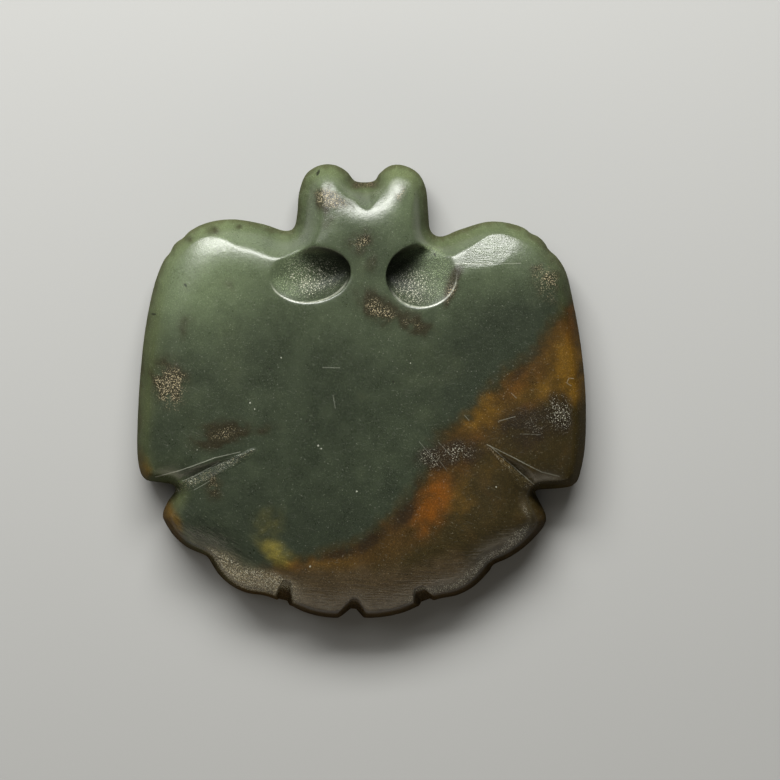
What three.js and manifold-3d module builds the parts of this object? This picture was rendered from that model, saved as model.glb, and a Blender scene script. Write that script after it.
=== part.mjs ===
// A spread-winged bird carved from one flat jade pebble, lying on its back.
// +Z is up out of the carved face, +Y points to the ears and +X to the wing on the viewer's right.
// The origin is on the flat back, at the middle of the outline. All sizes are in millimetres.
import * as THREE from 'three';
import { ConvexGeometry } from 'three/addons/geometries/ConvexGeometry.js';
import { mergeVertices } from 'three/addons/utils/BufferGeometryUtils.js';
import Module from 'manifold-3d';

// Driving dimensions of the slab
const breastThickness = 9.0;      // back to face, at the middle of the breast
const halfSpan = 29.0;            // half the width over the wings
const sideFall = 1.0;             // how far the domed face falls at the wing edges
const endFall = 0.9;              // and at the ears and the tail
const domeCentreY = 2.0;

// The edge: a steep worked wall below a broad rolled shoulder
const wallSlope = 3.6;
const wallEdgeRadius = 0.45;      // rounding of the widest line of the edge
const rollDrop = 2.4;
const rollWidth = 6.0;
const sideCrest = 1.9;            // blend between wall and roll, at the wing sides
const topCrest = 1.4;             // and along the shoulders and ears, where it is crisper
const shoulders = { from: 10, to: 19 };   // the stretch along Y where one turns into the other
const widestHeight = 3.0;         // height of the widest line above the back
const backRollWidth = 1.8;

// The tail is ground thinner, with a long bevel
const tailBevel = { drop: 2.9, width: 7.5, wall: 3.4, widest: 1.6, crest: 1.2, from: -13, to: -22 };

// The head droops towards the ears
const headDroop = { from: 20, length: 9, fall: 1.0 };

// Where the widest line drops towards the back: between the ears and beside the neck
const lowWaists = [
  { x: 0.4, y: 27.0, reach: 3.4, drop: 2.1 },
  { x: -9.6, y: 20.8, reach: 2.6, drop: 1.4 },
  { x: 9.8, y: 20.0, reach: 2.6, drop: 1.4 },
];
// Where the wall leans more, on both sides of the neck
const easedWalls = [
  { x: -9.6, y: 20.8, reach: 11.5, less: 1.85 },
  { x: 9.8, y: 20.0, reach: 9.0, less: 1.2 },
];

// Slanting cuts between the ears and on both sides of the neck: leaning V shapes that start at a
// place on the outline and rise inwards
const saddleRounding = 0.9;
const saddleCurve = 0.12;
const saddles = [
  { x: 0.45, y: 26.95, inward: [0.13, -1.0], sideRise: 1.2, base: 1.2, slope: 2.25, crest: 0.7 },
  { x: -9.6, y: 20.75, inward: [0.42, -0.9], sideRise: 0.7, base: 1.6, slope: 3.1, crest: 0.4 },
  { x: 10.0, y: 20.0, inward: [-0.1, -1.0], sideRise: 0.7, base: 1.6, slope: 3.6, crest: 0.4 },
];

// Outline, counter-clockwise from the notch under the right wing
const rightWing = [
  [22.6, -13.4], [22.7, -12.85], [23.6, -12.7], [26.2, -12.5], [27.45, -12.1], [28.2, -10.9],
  [28.9, -7.0], [28.95, -0.5], [28.25, 6.4], [27.0, 13.0], [26.2, 15.8], [24.8, 17.9], [22.6, 20.2],
  [19.8, 21.6], [16.4, 22.0], [12.8, 21.0], [10.3, 20.0],
];
const head = [
  [8.9, 20.8], [8.6, 23.2], [8.3, 26.2], [7.3, 28.2], [5.5, 29.2], [3.8, 29.2], [2.4, 28.2],
  [1.7, 27.2], [0.4, 26.95], [-0.9, 27.2], [-1.9, 28.4], [-3.4, 29.25], [-5.3, 29.25], [-7.1, 28.1],
  [-8.0, 25.7], [-8.25, 23.1], [-8.7, 21.2],
];
const leftWing = [
  [-10.0, 20.75], [-12.8, 21.7], [-16.6, 22.3], [-20.0, 21.8], [-22.6, 20.4], [-24.8, 18.1],
  [-26.5, 14.4], [-27.75, 8.9], [-28.5, 2.9], [-28.95, -3.8], [-28.95, -8.8], [-28.1, -11.3],
  [-25.9, -11.8], [-24.5, -12.1], [-24.15, -12.9], [-25.1, -14.3], [-25.75, -15.8],
];
// Scalloped tail: each lobe runs between two points and swells outwards by bulge
const tailLobes = [
  { from: [-25.6, -16.9], to: [-20.45, -21.5], bulge: 0.8, steps: 3 },
  { from: [-19.95, -21.9], to: [-12.5, -26.9], bulge: 1.35, steps: 4 },
  { from: [-9.6, -28.0], to: [-2.9, -29.75], bulge: 0.5, steps: 3 },
  { from: [-1.0, -29.1], to: [-1.0, -29.1], bulge: 0, steps: 0 },
  { from: [0.4, -29.75], to: [7.7, -28.1], bulge: 0.5, steps: 3 },
  { from: [10.0, -27.3], to: [16.6, -23.6], bulge: 0.85, steps: 3 },
  { from: [17.2, -22.75], to: [23.7, -17.5], bulge: 0.7, steps: 4 },
  { from: [23.85, -16.0], to: [23.85, -16.0], bulge: 0, steps: 0 },
];

// Eye hollows, ground in at a slant towards the bridge between them
const eyeDepth = 5.4;             // along the slant
const eyeSlant = THREE.MathUtils.degToRad(40);
const eyeHollows = [
  { x: -6.5, y: 15.56, halfWidth: 5.1, halfHeight: 3.47, turn: 8.5, towards: 1 },
  { x: 7.73, y: 15.43, halfWidth: 4.45, halfHeight: 4.0, turn: 2.3, towards: -1 },
];

// Wing grooves: a V that starts at a point on the face and deepens towards the notch in the outline
const wingGrooves = [
  { start: [-13.9, -6.8], mouth: [-24.3, -11.9], sink: 0.2, wingWall: 0.95, tailWall: 1.85, wingSide: -1 },
  { start: [16.4, -6.5], mouth: [22.7, -12.2], sink: 0.25, wingWall: 0.75, tailWall: 2.5, wingSide: 1 },
];

// Tail notches, cut at a slant so that they reach further in on the face than on the back
const tailNotches = [
  { apex: [-9.6, -24.0], foot: [-10.3, -27.8], footHeight: 0.4, spread: 1.2, floor: 0.35 },
  { apex: [-0.85, -26.35], foot: [-1.1, -28.75], footHeight: 0.6, spread: 1.2, floor: 0.35 },
  { apex: [7.3, -24.95], foot: [8.4, -27.75], footHeight: 0.4, spread: 1.4, floor: 0.55 },
];

// Mesh fineness
const outlineStepsPerSpan = 3;
const distanceStepsPerSpan = 24;
const faceInsets = [0.25, 0.6, 1.0, 1.6, 2.4];    // distances from the outline, in millimetres
const innerRings = [0.94, 0.87, 0.78, 0.65, 0.5, 0.25];    // shares of the last inset ring
const backInsets = [0.25, 0.6, 1.0, 1.8];
const eyeSegments = 32;
const eyeRings = [0.25, 0.45, 0.62, 0.77, 0.9, 1.0, 1.12];
const cutterMargin = 2.0;         // how far the cutting shapes stand out of the slab
const mergeWithin = 1e-5;

const smoothStep = (from, to, value) => THREE.MathUtils.smoothstep(
  (value - from) / (to - from), 0, 1);

// The smaller of two heights, with the corner between them blended over the given height
function smoothMin(a, b, blend) {
  const overlap = Math.max(blend - Math.abs(a - b), 0) / blend;
  return Math.min(a, b) - overlap * overlap * blend / 4;
}

// Points of one tail lobe, swelling to the right of the way from its start to its end
function lobePoints({ from, to, bulge, steps }) {
  if (steps === 0) return [from];
  const run = new THREE.Vector2(to[0] - from[0], to[1] - from[1]);
  const outward = new THREE.Vector2(run.y, -run.x).normalize();
  return Array.from({ length: steps + 1 }, (_, i) => {
    const t = i / steps;
    const swell = 4 * bulge * t * (1 - t);
    return [from[0] + run.x * t + outward.x * swell, from[1] + run.y * t + outward.y * swell];
  });
}

const outlineCurve = new THREE.CatmullRomCurve3(
  [...rightWing, ...head, ...leftWing, ...tailLobes.flatMap(lobePoints)]
    .map(([x, y]) => new THREE.Vector3(x, y, 0)),
  true, 'catmullrom', 0.5);

function sampleOutline(stepsPerSpan) {
  const count = outlineCurve.points.length * stepsPerSpan;
  return Array.from({ length: count }, (_, i) => outlineCurve.getPoint(i / count));
}

// Distance from the outline. Near the edge it is the true distance; further in it is a smooth mean
// of the inverse sixth powers, so that no ridge runs along the middle of the ears and wing tips.
const edgeSamples = sampleOutline(distanceStepsPerSpan);
const edgeLengths = edgeSamples.map((p, i) => {
  const after = edgeSamples[(i + 1) % edgeSamples.length];
  const before = edgeSamples.at(i - 1);
  return after.distanceTo(before) / 2;
});
const straightEdgeMean = 3 * Math.PI / 8;
const trueWithin = 0.4;           // the distance is the true one up to here
const softBeyond = 1.0;           // and the smooth mean from here on
const tiny = 1e-12;
function edgeDistance(x, y) {
  let nearest = Infinity;
  let sum = 0;
  edgeSamples.forEach((p, i) => {
    const squared = (p.x - x) ** 2 + (p.y - y) ** 2;
    nearest = Math.min(nearest, squared);
    sum += edgeLengths[i] / (squared ** 3 + tiny);
  });
  nearest = Math.sqrt(nearest);
  const soft = (sum / straightEdgeMean) ** (-1 / 5);
  return THREE.MathUtils.lerp(nearest, soft, smoothStep(trueWithin, softBeyond, nearest));
}

// The way in which that smooth mean grows fastest
function wayInwards({ x, y }) {
  const way = new THREE.Vector3();
  edgeSamples.forEach((p, i) => {
    const share = edgeLengths[i] / (((p.x - x) ** 2 + (p.y - y) ** 2) ** 4 + tiny);
    way.x += (x - p.x) * share;
    way.y += (y - p.y) * share;
  });
  return way.normalize();
}

// Height of the widest line of the edge
function widestLine(x, y) {
  const tail = smoothStep(tailBevel.from, tailBevel.to, y);
  const level = THREE.MathUtils.lerp(widestHeight, tailBevel.widest, tail);
  return lowWaists.reduce(
    (height, w) => height - w.drop * Math.exp(-((x - w.x) ** 2 + (y - w.y) ** 2) / w.reach ** 2),
    level);
}

// A saddle rises with the way inwards or outwards and, faster and faster, to both sides of that way
function saddleHeight(x, y, saddle) {
  const inward = new THREE.Vector2(...saddle.inward).normalize();
  const along = (x - saddle.x) * inward.x + (y - saddle.y) * inward.y;
  const side = (y - saddle.y) * inward.x - (x - saddle.x) * inward.y;
  const rise = saddle.sideRise * (Math.hypot(side, saddleRounding) - saddleRounding)
    + saddleCurve * side * side;
  return saddle.base + saddle.slope * (Math.abs(along) + rise);
}

const tailMix = (y, body, atTail) => THREE.MathUtils.lerp(
  body, atTail, smoothStep(tailBevel.from, tailBevel.to, y));

// The domed face with its roll towards the edge
function rolledHeight(x, y, distance) {
  const dome = breastThickness
    - sideFall * (x / halfSpan) ** 2
    - endFall * ((y - domeCentreY) / halfSpan) ** 2
    - headDroop.fall * (Math.max(y - headDroop.from, 0) / headDroop.length) ** 2;
  const roll = Math.max(1 - distance / tailMix(y, rollWidth, tailBevel.width), 0);
  return dome - tailMix(y, rollDrop, tailBevel.drop) * roll * roll;
}

// The same, met by the wall of the edge and by the saddles
function faceHeight(x, y, distance) {
  const slope = easedWalls.reduce(
    (steepness, w) => steepness
      - w.less * smoothStep(w.reach, w.reach / 2, Math.hypot(x - w.x, y - w.y)),
    tailMix(y, wallSlope, tailBevel.wall));
  const wall = widestLine(x, y)
    + Math.sqrt((slope * distance) ** 2 + 2 * wallEdgeRadius * distance);
  const towardsTop = smoothStep(shoulders.from, shoulders.to, y);
  const crest = tailMix(y, THREE.MathUtils.lerp(sideCrest, topCrest, towardsTop), tailBevel.crest);
  return saddles.reduce(
    (height, saddle) => smoothMin(height, saddleHeight(x, y, saddle), saddle.crest),
    smoothMin(rolledHeight(x, y, distance), wall, crest));
}

// The back is flat, with a quarter-ellipse roll up to the widest line
function backHeight(x, y, distance) {
  const roll = Math.max(1 - distance / backRollWidth, 0);
  return widestLine(x, y) * (1 - Math.sqrt(1 - roll * roll));
}

// Closed geometry through rings of equal length, from a bottom pole to a top pole
function ringGeometry(bottomPole, rings, topPole) {
  const size = rings[0].length;
  const points = [bottomPole, ...rings.flat(), topPole];
  const at = (ring, j) => 1 + ring * size + (j % size);
  const top = points.length - 1;
  const index = [];
  for (let j = 0; j < size; j += 1) {
    index.push(0, at(0, j + 1), at(0, j));
    for (let ring = 0; ring < rings.length - 1; ring += 1) {
      index.push(at(ring, j), at(ring, j + 1), at(ring + 1, j + 1));
      index.push(at(ring, j), at(ring + 1, j + 1), at(ring + 1, j));
    }
    index.push(top, at(rings.length - 1, j), at(rings.length - 1, j + 1));
  }
  const geometry = new THREE.BufferGeometry().setFromPoints(points);
  geometry.setIndex(index);
  return geometry;
}

// Rings at growing distances from the outline, each stepped inwards from the one before
function insetRings(outline, insets) {
  let ring = outline.points;
  return insets.map((inset, i) => {
    const step = inset - (i === 0 ? 0 : insets[i - 1]);
    ring = ring.map((p, j) => {
      const way = i === 0 ? outline.normals[j] : wayInwards(p);
      return p.clone().addScaledVector(way, step);
    });
    return ring;
  });
}

function slabGeometry() {
  const points = sampleOutline(outlineStepsPerSpan);
  const up = new THREE.Vector3(0, 0, 1);
  const normals = points.map((_, i) => up.clone().cross(
    outlineCurve.getTangent(i / points.length)).normalize());
  const outline = { points, normals };
  const raise = (ring, height) => ring.map(({ x, y }) => new THREE.Vector3(
    x, y, height(x, y, edgeDistance(x, y))));
  const faceEdge = insetRings(outline, faceInsets);
  const innermost = faceEdge.at(-1);
  const rings = [
    ...insetRings(outline, backInsets).reverse().map((ring) => raise(ring, backHeight)),
    raise(points, widestLine),
    ...faceEdge.map((ring) => raise(ring, faceHeight)),
    ...innerRings.map((share) => raise(
      innermost.map((p) => p.clone().multiplyScalar(share)), faceHeight)),
  ];
  const middleHeight = faceHeight(0, 0, edgeDistance(0, 0));
  return ringGeometry(new THREE.Vector3(0, 0, 0), rings, new THREE.Vector3(0, 0, middleHeight));
}

// A slanting bowl: turned ellipses that shrink while they slide down towards the bridge
function eyeGeometry({ x, y, halfWidth, halfHeight, turn, towards }) {
  const centre = new THREE.Vector2(x, y);
  const pointAt = (share, angle) => {
    const { x: px, y: py } = new THREE.Vector2(
      share * halfWidth * Math.cos(angle), share * halfHeight * Math.sin(angle))
      .add(centre).rotateAround(centre, THREE.MathUtils.degToRad(turn));
    const slide = eyeDepth * (1 - share * share);
    const surface = rolledHeight(px, py, edgeDistance(px, py));
    return new THREE.Vector3(
      px + towards * slide * Math.sin(eyeSlant), py, surface - slide * Math.cos(eyeSlant));
  };
  const rings = eyeRings.map((share) => Array.from(
    { length: eyeSegments }, (_, i) => pointAt(share, 2 * Math.PI * i / eyeSegments)));
  const lid = new THREE.Vector3(x, y, breastThickness + cutterMargin);
  return ringGeometry(pointAt(0, 0), rings, lid);
}

// A V-shaped wedge with flat walls. Its bottom line starts at the face and sinks towards the mouth.
function grooveGeometry({ start, mouth, sink, wingWall, tailWall, wingSide }) {
  const along = new THREE.Vector2(mouth[0] - start[0], mouth[1] - start[1]).normalize();
  const across = new THREE.Vector2(-along.y, along.x).multiplyScalar(wingSide);
  const startHeight = faceHeight(...start, edgeDistance(...start));
  const overshoot = 9;            // past the mouth, so that the wedge leaves the slab
  const reach = Math.hypot(mouth[0] - start[0], mouth[1] - start[1]) + overshoot;
  const lead = 6;                 // before the start, above the face, where the wedge is a point
  const rise = (lead + reach) * sink;
  const at = (forward, side, height) => new THREE.Vector3(
    start[0] + along.x * forward + across.x * side,
    start[1] + along.y * forward + across.y * side, height);
  return new ConvexGeometry([
    at(-lead, 0, startHeight + lead * sink),
    at(reach, 0, startHeight - reach * sink),
    at(reach, rise / wingWall, startHeight + lead * sink),
    at(reach, -rise / tailWall, startHeight + lead * sink),
  ]);
}

// A leaning V-shaped notch with a narrow flat floor, open to the outside of the tail
function notchGeometry({ apex, foot, footHeight, spread, floor }) {
  const outward = new THREE.Vector2(foot[0] - apex[0], foot[1] - apex[1]);
  const run = outward.length();
  outward.normalize();
  const across = new THREE.Vector2(-outward.y, outward.x);
  const apexHeight = faceHeight(...apex, edgeDistance(...apex));
  const lean = run / (apexHeight - footHeight);
  const reach = 6;                // to well outside the tail
  const sectionAt = (height) => {
    const inner = (apexHeight - height) * lean;
    return [[inner, -floor], [inner, floor], [inner + reach, floor + reach * spread],
      [inner + reach, -floor - reach * spread]].map(([forward, side]) => new THREE.Vector3(
      apex[0] + outward.x * forward + across.x * side,
      apex[1] + outward.y * forward + across.y * side, height));
  };
  return new ConvexGeometry(
    [...sectionAt(breastThickness + cutterMargin), ...sectionAt(-cutterMargin)]);
}

const wasm = await Module();
wasm.setup();

function toSolid(geometry) {
  geometry.deleteAttribute('normal');
  geometry.deleteAttribute('uv');
  const merged = mergeVertices(geometry, mergeWithin);
  return new wasm.Manifold(new wasm.Mesh({
    numProp: 3,
    vertProperties: new Float32Array(merged.attributes.position.array),
    triVerts: new Uint32Array(merged.index.array),
  }));
}

function toGeometry(solid) {
  const mesh = solid.getMesh();
  const geometry = new THREE.BufferGeometry();
  geometry.setAttribute('position', new THREE.BufferAttribute(mesh.vertProperties, mesh.numProp));
  geometry.setIndex(new THREE.BufferAttribute(mesh.triVerts, 1));
  geometry.computeVertexNormals();
  return geometry;
}

const cuts = [
  ...eyeHollows.map(eyeGeometry),
  ...wingGrooves.map(grooveGeometry),
  ...tailNotches.map(notchGeometry),
];
const carved = cuts.reduce((solid, cut) => solid.subtract(toSolid(cut)), toSolid(slabGeometry()));

const jade = new THREE.MeshStandardMaterial({ color: 0x5f7458, roughness: 0.3, metalness: 0 });
const bird = new THREE.Mesh(toGeometry(carved), jade);
bird.name = 'bird_plaque';

const model = new THREE.Group();
model.add(bird);
export default model;
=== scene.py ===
import functools
import math

import bpy
import numpy as np
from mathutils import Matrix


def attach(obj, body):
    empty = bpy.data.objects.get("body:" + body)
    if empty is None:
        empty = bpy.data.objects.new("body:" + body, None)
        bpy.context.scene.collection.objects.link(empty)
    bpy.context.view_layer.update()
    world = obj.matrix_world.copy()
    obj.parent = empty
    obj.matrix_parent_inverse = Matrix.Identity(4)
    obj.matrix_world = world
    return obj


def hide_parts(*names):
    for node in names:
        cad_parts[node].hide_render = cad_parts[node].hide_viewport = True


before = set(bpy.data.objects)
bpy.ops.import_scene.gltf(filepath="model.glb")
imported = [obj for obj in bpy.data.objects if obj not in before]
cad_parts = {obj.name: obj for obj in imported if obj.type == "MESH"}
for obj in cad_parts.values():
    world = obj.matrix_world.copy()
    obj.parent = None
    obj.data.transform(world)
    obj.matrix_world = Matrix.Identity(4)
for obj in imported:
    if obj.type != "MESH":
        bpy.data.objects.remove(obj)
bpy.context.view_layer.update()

# A spread-winged jade bird, lying on its flat back with its ears towards +Y.
# Shapes are worked out in millimetres, as in the solid, and put into the meshes in metres.
millimetre = 0.001

# Slab, edge and tail, with the same values as the solid
slab = {
    "breastThickness": 9.0,
    "halfSpan": 29.0,
    "sideFall": 1.0,
    "endFall": 0.9,
    "domeCentreY": 2.0,
    "wallSlope": 3.6,
    "wallEdgeRadius": 0.45,
    "rollDrop": 2.4,
    "rollWidth": 6.0,
    "sideCrest": 1.9,
    "topCrest": 1.4,
    "shoulders": (10, 19),
    "widestHeight": 3.0,
    "backRollWidth": 1.8,
    "tailFromTo": (-13, -22),
    "tailDrop": 2.9,
    "tailRollWidth": 7.5,
    "tailWall": 3.4,
    "tailWidest": 1.6,
    "tailCrest": 1.2,
    # where the widest line drops: x, y, reach, drop
    "lowWaists": [(0.4, 27.0, 3.4, 2.1), (-9.6, 20.8, 2.6, 1.4), (9.8, 20.0, 2.6, 1.4)],
    # where the wall leans more: x, y, reach, how much less steep
    "easedWalls": [(-9.6, 20.8, 11.5, 1.85), (9.8, 20.0, 9.0, 1.2)],
    "headFrom": 20.0,
    "headLength": 9.0,
    "headFall": 1.0,
}

# Slanting cuts between the ears and on both sides of the neck
saddles = {
    "rounding": 0.9,
    "curve": 0.12,
    # place on the outline, way inwards, rise per side, height at the outline, slope, crest
    "list": [
        ((0.45, 26.95), (0.13, -1.0), 1.2, 1.2, 2.25, 0.7),
        ((-9.6, 20.75), (0.42, -0.9), 0.7, 1.6, 3.1, 0.4),
        ((10.0, 20.0), (-0.1, -1.0), 0.7, 1.6, 3.6, 0.4),
    ],
}

# Outline, counter-clockwise from the notch under the right wing; a lobe is start, end, bulge, steps
outline = {
    "rightWing": [
        (22.6, -13.4), (22.7, -12.85), (23.6, -12.7), (26.2, -12.5), (27.45, -12.1), (28.2, -10.9),
        (28.9, -7.0), (28.95, -0.5), (28.25, 6.4), (27.0, 13.0), (26.2, 15.8), (24.8, 17.9),
        (22.6, 20.2), (19.8, 21.6), (16.4, 22.0), (12.8, 21.0), (10.3, 20.0),
    ],
    "head": [
        (8.9, 20.8), (8.6, 23.2), (8.3, 26.2), (7.3, 28.2), (5.5, 29.2), (3.8, 29.2), (2.4, 28.2),
        (1.7, 27.2), (0.4, 26.95), (-0.9, 27.2), (-1.9, 28.4), (-3.4, 29.25), (-5.3, 29.25),
        (-7.1, 28.1), (-8.0, 25.7), (-8.25, 23.1), (-8.7, 21.2),
    ],
    "leftWing": [
        (-10.0, 20.75), (-12.8, 21.7), (-16.6, 22.3), (-20.0, 21.8), (-22.6, 20.4), (-24.8, 18.1),
        (-26.5, 14.4), (-27.75, 8.9), (-28.5, 2.9), (-28.95, -3.8), (-28.95, -8.8), (-28.1, -11.3),
        (-25.9, -11.8), (-24.5, -12.1), (-24.15, -12.9), (-25.1, -14.3), (-25.75, -15.8),
    ],
    "tailLobes": [
        ((-25.6, -16.9), (-20.45, -21.5), 0.8, 3),
        ((-19.95, -21.9), (-12.5, -26.9), 1.35, 4),
        ((-9.6, -28.0), (-2.9, -29.75), 0.5, 3),
        ((-1.0, -29.1), (-1.0, -29.1), 0, 0),
        ((0.4, -29.75), (7.7, -28.1), 0.5, 3),
        ((10.0, -27.3), (16.6, -23.6), 0.85, 3),
        ((17.2, -22.75), (23.7, -17.5), 0.7, 4),
        ((23.85, -16.0), (23.85, -16.0), 0, 0),
    ],
    # small chipped facets in the outline: x, y, depth, width
    "chips": [(-23.1, 20.1, 0.18, 0.7), (-24.9, 18.2, 0.2, 0.7), (21.9, 20.7, 0.2, 0.7),
              (24.4, 18.6, 0.22, 0.8)],
}

# Carved details, as in the solid
eyes = {
    "depth": 5.4,
    "slant": math.radians(40),
    "rimFillet": 0.3,
    # shares of the ellipse: beyond the rim the slide fades out, and the hollow's look on it
    "slideFade": (1.35, 1.1),
    "lookFade": (1.02, 0.9),
    # painted shade under the bridge and, less so, under the upper rim; painted light on the far and
    # upper side
    "shadeFade": (0.0, 0.9),
    "shadeUpwards": 0.35,
    "litAway": (0.2, 0.8),
    "litInwards": (0.5, -0.2),
    "hollows": [
        # x, y, half width, half height, turn, side that the bowl leans to
        (-6.5, 15.56, 5.1, 3.47, math.radians(8.5), 1),
        (7.73, 15.43, 4.45, 4.0, math.radians(2.3), -1),
    ],
}
grooves = {
    "blend": 0.16,
    "behindStart": 1.5,
    "maskDepth": (0.0, 0.25),
    # band of grains along the bottom line, mostly on the tail wall: half width and its growth per
    # millimetre, shift and solid core as shares of it, where it starts, strength by side
    "bandHalf": 0.45,
    "bandGrowth": 0.07,
    "bandShift": 0.4,
    "bandCore": 0.2,
    "bandFrom": (-0.6, 0.2),
    "bandStrength": {-1: 1.0, 1: 0.6},
    # start, mouth, sink, wing wall, tail wall, side of the wing
    "list": [
        ((-13.9, -6.8), (-24.3, -11.9), 0.2, 0.95, 1.85, -1),
        ((16.4, -6.5), (22.7, -12.2), 0.25, 0.75, 2.5, 1),
    ],
}
notches = {
    "blend": 0.08,
    # how far behind the apex and to each side they reach, and where their look starts
    "behindApex": 3,
    "toSide": 5,
    "maskDepth": (0.02, 0.2),
    # apex on the face, foot on the back, height of the foot, spread, half width of the floor
    "list": [
        ((-9.6, -24.0), (-10.3, -27.8), 0.4, 0.45, 0.55),
        ((-0.85, -26.35), (-1.1, -28.75), 0.6, 0.9, 0.35),
        ((7.3, -24.95), (8.4, -27.75), 0.4, 0.65, 0.6),
    ],
}

# Right shoulder ground nearly flat, below a straight border
facet = {"middle": (18.4, 16.95), "halfWidth": 5.8, "slope": 0.34, "bend": 0.022, "rise": 0.1,
         "blend": 0.05, "belowBorder": 1, "maskDepth": (-0.02, 0.08)}

# Bevel ground on the right lobes of the tail: crest inside the outline, slope, blend
lobeBevel = {"crest": 2.2, "slope": 1.1, "blend": 0.8, "from": (3, 10), "below": (-12, -17),
             "lift": 3, "maskDepth": (-0.1, 0.3)}

# Fineness of the mesh
meshing = {
    "around": 780,
    "insetDepth": 2.2,
    "insetRings": 26,
    "insetPower": 1.25,
    # insets up to here follow the outline's normals
    "straightInset": 0.45,
    "innerRings": 66,
    "innerPower": 1.12,
    "backInnerRings": 8,
    "curveSteps": 24,
    "rimSteps": 60,
    # from the marched inset to the soft distance
    "softFrom": (0.4, 1.0),
    # reach, as a share of the ellipse, and strength of the pull of grid points to the eyes' rims
    "rimReach": 0.34,
    "rimPull": 0.62,
    "leastShare": 1e-6,
    # places that get more lines: x, y, reach, extra
    "denser": [(-10.3, -27.8, 2.6, 2.2), (-1.0, -29.0, 2.2, 2.2), (8.4, -27.6, 2.6, 2.2),
               (-24.3, -12.6, 2.6, 1.4), (22.9, -13.2, 2.6, 1.4), (0.4, 27.0, 3.0, 0.8),
               (-9.4, 20.8, 2.4, 1.0), (9.6, 20.2, 2.4, 1.0)],
}

# A height above every surface, and an inset far from the edge
wellAbove = 99.0
wellInside = 9.0


def smoothStep(low, high, value):
    # 0 below low, 1 above high, and 3t^2 - 2t^3 between
    t = np.clip((value - low) / (high - low), 0, 1)
    return t * t * (3 - 2 * t)


def smoothMin(a, b, blend):
    # the smaller value, less blend/4 times the square of how nearly equal the two are
    overlap = np.clip(blend - np.abs(a - b), 0, None) / blend
    return np.minimum(a, b) - overlap * overlap * blend / 4


def lobePoints(start, end, bulge, steps):
    # points along the chord, pushed outwards by the parabola 4 bulge t (1 - t)
    if steps == 0:
        return [start]
    run = np.subtract(end, start)
    outward = np.array([run[1], -run[0]]) / np.hypot(*run)
    t = np.linspace(0, 1, steps + 1)[:, None]
    return list(start + run * t + outward * 4 * bulge * t * (1 - t))


def splinePoints(knots, steps):
    # closed curve: a cubic between each pair of knots, whose tangent at a knot is half the chord
    # between the knot's two neighbours
    knots = np.asarray(knots, float)
    u = np.arange(len(knots) * steps) / steps
    k = u.astype(int)
    w = (u - k)[:, None]
    before, here, after, beyond = (knots[(k + i) % len(knots)] for i in (-1, 0, 1, 2))
    leave, arrive = (after - before) / 2, (beyond - here) / 2
    return (here + leave * w + (3 * (after - here) - 2 * leave - arrive) * w ** 2
            + (2 * (here - after) + leave + arrive) * w ** 3)


def outlineKnots():
    # the points of the wings, the head and the tail's lobes, in one turn
    lobes = [point for lobe in outline["tailLobes"] for point in lobePoints(*lobe)]
    return [*outline["rightWing"], *outline["head"], *outline["leftWing"], *lobes]


def inwardNormals(curve):
    # the tangent of the closed curve, turned a quarter to the left
    tangent = np.roll(curve, -1, 0) - np.roll(curve, 1, 0)
    tangent /= np.linalg.norm(tangent, axis=1)[:, None]
    return np.stack([-tangent[:, 1], tangent[:, 0]], 1)


def spreadAround(curve, count):
    # count points along the closed curve, closer together near the places that need it
    closed = np.vstack([curve, curve[:1]])
    middle = (closed[1:] + closed[:-1]) / 2
    weight = np.ones(len(middle))
    for x, y, reach, extra in meshing["denser"]:
        weight += extra * np.exp(-((middle[:, 0] - x) ** 2 + (middle[:, 1] - y) ** 2) / reach ** 2)
    way = np.concatenate([[0], np.cumsum(np.linalg.norm(np.diff(closed, axis=0), axis=1) * weight)])
    at = np.arange(count) / count * way[-1]
    return np.stack([np.interp(at, way, closed[:, 0]), np.interp(at, way, closed[:, 1])], 1)


knots = outlineKnots()
edgePoints = splinePoints(knots, meshing["curveSteps"])
edgeLengths = np.linalg.norm(np.roll(edgePoints, -1, 0) - np.roll(edgePoints, 1, 0), axis=1) / 2
straightEdgeMean = 3 * math.pi / 8


def overEdge(x, y, take, chunk=4000, leastSquare=1e-4):
    # runs take over the offsets and squared distances from every point to every edge point, with
    # a chunk of the points at a time
    parts = []
    for i in range(0, len(x), chunk):
        dx = x[i:i + chunk, None] - edgePoints[None, :, 0]
        dy = y[i:i + chunk, None] - edgePoints[None, :, 1]
        parts.append(take(dx, dy, dx * dx + dy * dy + leastSquare))
    return np.concatenate(parts)


def softDistance(x, y):
    # the sum of edge length over distance to the sixth, scaled so that beside a straight edge it
    # is the true distance, to the power -1/5
    total = overEdge(x, y, lambda dx, dy, s: (edgeLengths / (s * s * s)).sum(1))
    return (total / straightEdgeMean) ** (-1 / 5)


def inwardPull(x, y):
    # the direction in which the soft distance grows fastest
    def pull(dx, dy, s):
        share = edgeLengths / (s * s * s * s)
        return np.stack([(dx * share).sum(1), (dy * share).sum(1)], 1)
    way = overEdge(x, y, pull)
    return way / np.linalg.norm(way, axis=1)[:, None]


def widestLine(x, y):
    # height of the widest line: lower along the tail, and lower again in a few bell-shaped dips
    tail = smoothStep(*slab["tailFromTo"], y)
    height = slab["widestHeight"] + (slab["tailWidest"] - slab["widestHeight"]) * tail
    for wx, wy, reach, drop in slab["lowWaists"]:
        height = height - drop * np.exp(-((x - wx) ** 2 + (y - wy) ** 2) / reach ** 2)
    return height


def saddleHeight(x, y, place, inward, sideRise, base, slope):
    # a leaning V: it rises with the way inwards or outwards and, faster and faster, to both sides
    ax, ay = np.array(inward) / np.hypot(*inward)
    along = (x - place[0]) * ax + (y - place[1]) * ay
    side = (y - place[1]) * ax - (x - place[0]) * ay
    r = saddles["rounding"]
    rise = sideRise * (np.sqrt(side * side + r * r) - r) + saddles["curve"] * side * side
    return base + slope * (np.abs(along) + rise)


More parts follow.
